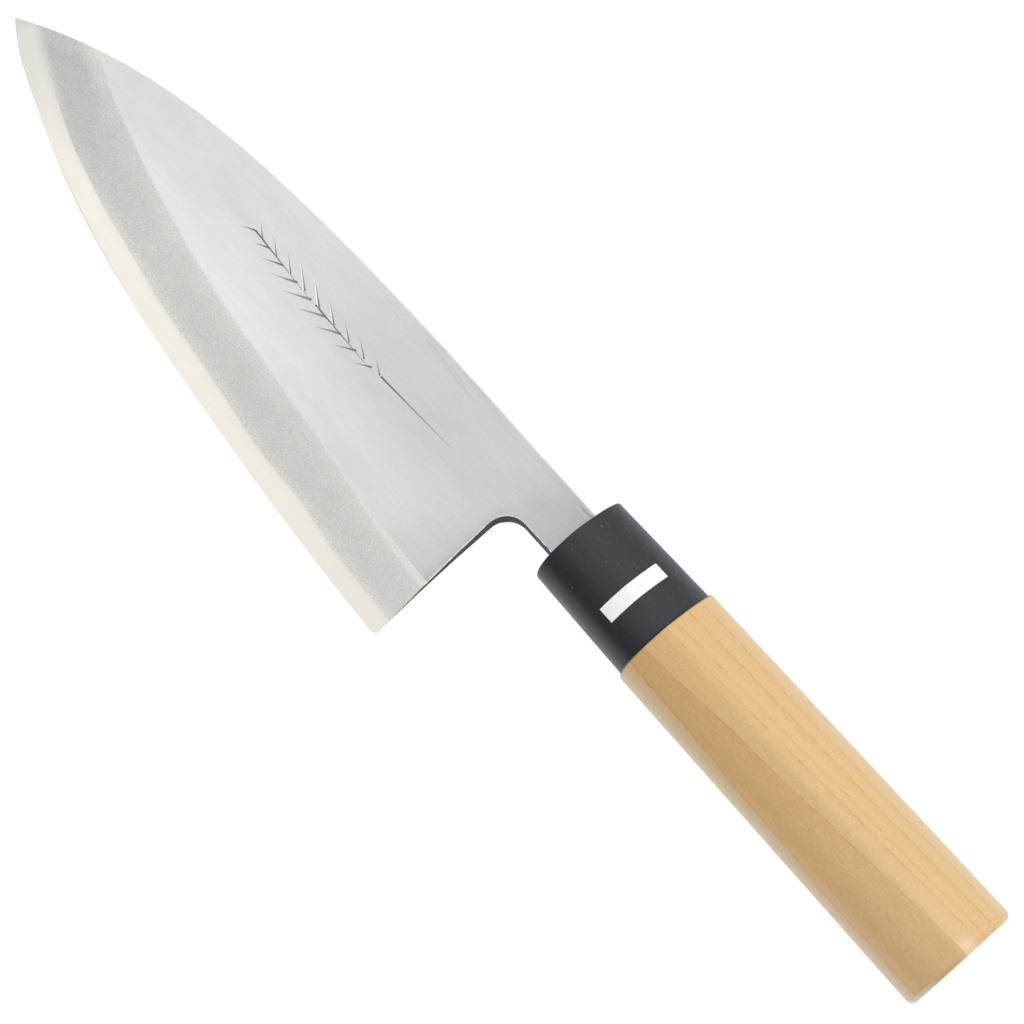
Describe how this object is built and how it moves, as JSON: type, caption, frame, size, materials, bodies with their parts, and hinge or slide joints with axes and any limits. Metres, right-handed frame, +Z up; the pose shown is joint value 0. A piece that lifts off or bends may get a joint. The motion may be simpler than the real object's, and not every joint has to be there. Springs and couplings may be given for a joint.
{
  "type": "deba knife",
  "caption": "Right-handed deba kitchen knife with a thick laminated single-bevel blade, black ferrule and D-shaped wooden handle.",
  "frame": {"origin": "on the board, under the middle of the knife's bounding box, with the knife lying on its back", "axes": "+X along the handle towards the tip, +Y towards the cutting edge, +Z up out of the bevelled face"},
  "size_m": [0.32, 0.0648, 0.0269],
  "materials": {
    "soft_iron": "flat finely brushed along the blade, bevel blasted to an even matte grey",
    "hard_steel": "stone-polished bright band, warm white",
    "ferrule_plastic": "satin black with faint scuffs",
    "handle_wood": "bare, finely sanded pale wood with darker growth lines",
    "label_film": "blank matte white film"
  },
  "bodies": {
    "root": {"iron_body": "soft_iron", "steel_edge": "hard_steel", "ferrule": "ferrule_plastic", "handle": "handle_wood", "label": "label_film"}
  },
  "joints": []
}
